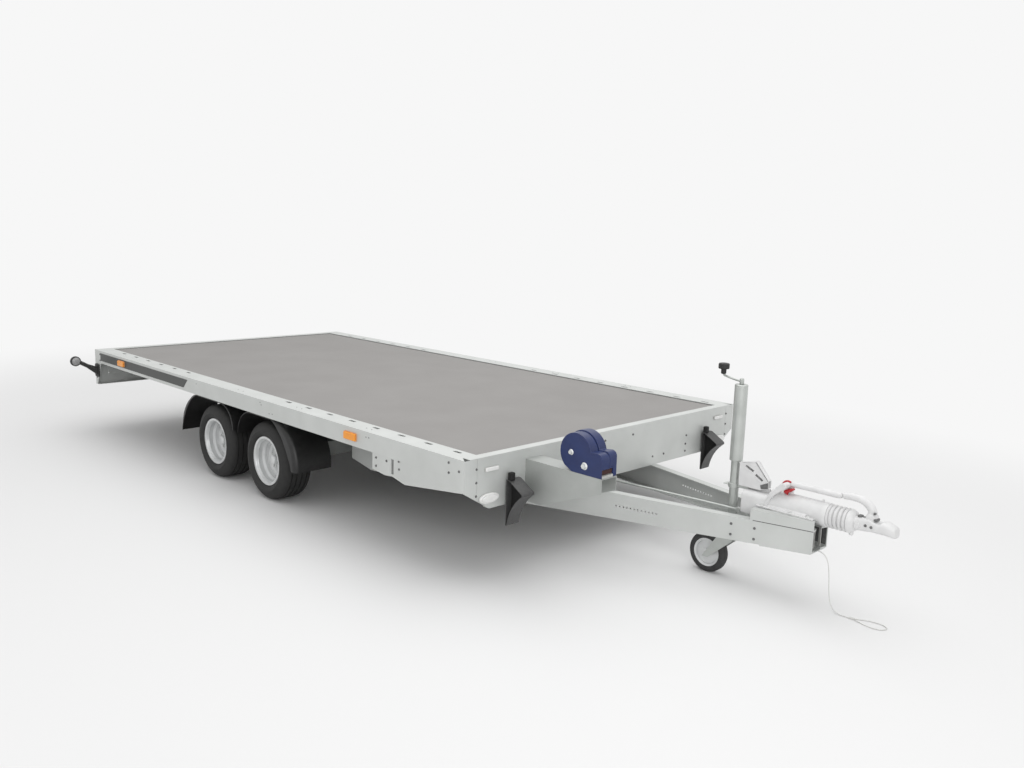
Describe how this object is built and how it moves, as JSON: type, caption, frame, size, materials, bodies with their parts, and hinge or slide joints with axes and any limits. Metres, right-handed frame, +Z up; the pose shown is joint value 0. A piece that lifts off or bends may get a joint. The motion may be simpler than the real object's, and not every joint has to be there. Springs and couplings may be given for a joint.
{
  "type": "flatbed trailer",
  "caption": "Low platform trailer on tandem torsion axles: folded side rails with tie-down slots, V drawbar, overrun coupling, jockey wheel, offset winch and wheel chocks",
  "frame": {"origin": "on the floor, midway between the rear panel and the coupling's tip, on the centre line", "axes": "+X forward to the coupling, +Y to the trailer's left, +Z up"},
  "size_m": [5.73, 2.5798, 1.044],
  "materials": {
    "galvanised_steel": "hot-dip galvanised sheet, matt grey",
    "deck_board": "film-faced birch plywood with a fine mesh pattern, matt",
    "coupling_white": "near-white zinc coating, satin",
    "zinc_plate": "bright zinc plate",
    "bellows_rubber": "pale moulded rubber",
    "black_plastic": "black moulded plastic",
    "winch_blue": "blue enamel",
    "white_lens": "clear white lamp lens",
    "amber_lens": "amber lamp lens",
    "red_lens": "red lamp lens",
    "strip_dark": "dark grey film",
    "tyre_rubber": "black tyre rubber",
    "rim_silver": "silver wheel paint",
    "roller_rubber": "solid black rubber",
    "cable_wire": "plain steel wire rope"
  },
  "bodies": {
    "chassis": {"deck_panel": "deck_board", "side_rail_right": "galvanised_steel", "side_rail_left": "galvanised_steel", "front_panel": "galvanised_steel", "front_posts": "galvanised_steel", "rear_panel": "galvanised_steel", "rear_posts": "galvanised_steel", "cross_members": "galvanised_steel", "chassis_members": "galvanised_steel", "side_brackets": "galvanised_steel", "drawbar_beam_right": "galvanised_steel", "drawbar_beam_left": "galvanised_steel", "coupling_mount": "galvanised_steel", "overrun_housing": "coupling_white", "bellows": "bellows_rubber", "coupling_head": "coupling_white", "coupling_handle": "coupling_white", "handbrake_lever": "coupling_white", "lever_bracket": "coupling_white", "jockey_clamp": "zinc_plate", "jockey_tube": "zinc_plate", "jockey_crank": "black_plastic", "winch_arm": "galvanised_steel", "winch_cover": "winch_blue", "wheel_chocks": "black_plastic", "chock_holders": "zinc_plate", "front_lamps": "white_lens", "front_reflectors": "white_lens", "side_markers": "amber_lens", "side_strips": "strip_dark", "tail_lamps": "red_lens", "outline_arms": "black_plastic", "outline_lenses": "white_lens", "mudguard_right": "black_plastic", "mudguard_left": "black_plastic", "axle_front": "galvanised_steel", "axle_rear": "galvanised_steel", "brake_rod": "zinc_plate", "breakaway_cable": "cable_wire", "cable_ferrule": "cable_wire"},
    "jockey_leg": {"jockey_stem": "zinc_plate"},
    "jockey_caster": {"jockey_fork": "zinc_plate"},
    "jockey_roller": {"jockey_wheel": "roller_rubber"},
    "wheel_front_right": {"tyre_front_right": "tyre_rubber", "rim_front_right": "rim_silver"},
    "wheel_front_left": {"tyre_front_left": "tyre_rubber", "rim_front_left": "rim_silver"},
    "wheel_rear_right": {"tyre_rear_right": "tyre_rubber", "rim_rear_right": "rim_silver"},
    "wheel_rear_left": {"tyre_rear_left": "tyre_rubber", "rim_rear_left": "rim_silver"}
  },
  "joints": [
    {"name": "wheel_front_right_spin", "type": "hinge", "parent": "chassis", "child": "wheel_front_right", "pos_m": [-0.413, -0.97, 0.234], "axis": [0, 1, 0], "continuous": true},
    {"name": "wheel_front_left_spin", "type": "hinge", "parent": "chassis", "child": "wheel_front_left", "pos_m": [-0.413, 0.97, 0.234], "axis": [0, 1, 0], "continuous": true},
    {"name": "wheel_rear_right_spin", "type": "hinge", "parent": "chassis", "child": "wheel_rear_right", "pos_m": [-1.037, -0.97, 0.234], "axis": [0, 1, 0], "continuous": true},
    {"name": "wheel_rear_left_spin", "type": "hinge", "parent": "chassis", "child": "wheel_rear_left", "pos_m": [-1.037, 0.97, 0.234], "axis": [0, 1, 0], "continuous": true},
    {"name": "jockey_lift", "type": "slide", "parent": "chassis", "child": "jockey_leg", "axis": [0, 0, 1], "range_m": [-0.06, 0.15]},
    {"name": "jockey_swivel", "type": "hinge", "parent": "jockey_leg", "child": "jockey_caster", "pos_m": [2.079, 0, 0.21], "axis": [0, 0, 1], "continuous": true},
    {"name": "jockey_spin", "type": "hinge", "parent": "jockey_caster", "child": "jockey_roller", "pos_m": [1.964, 0, 0.1], "axis": [0, 1, 0], "continuous": true}
  ]
}
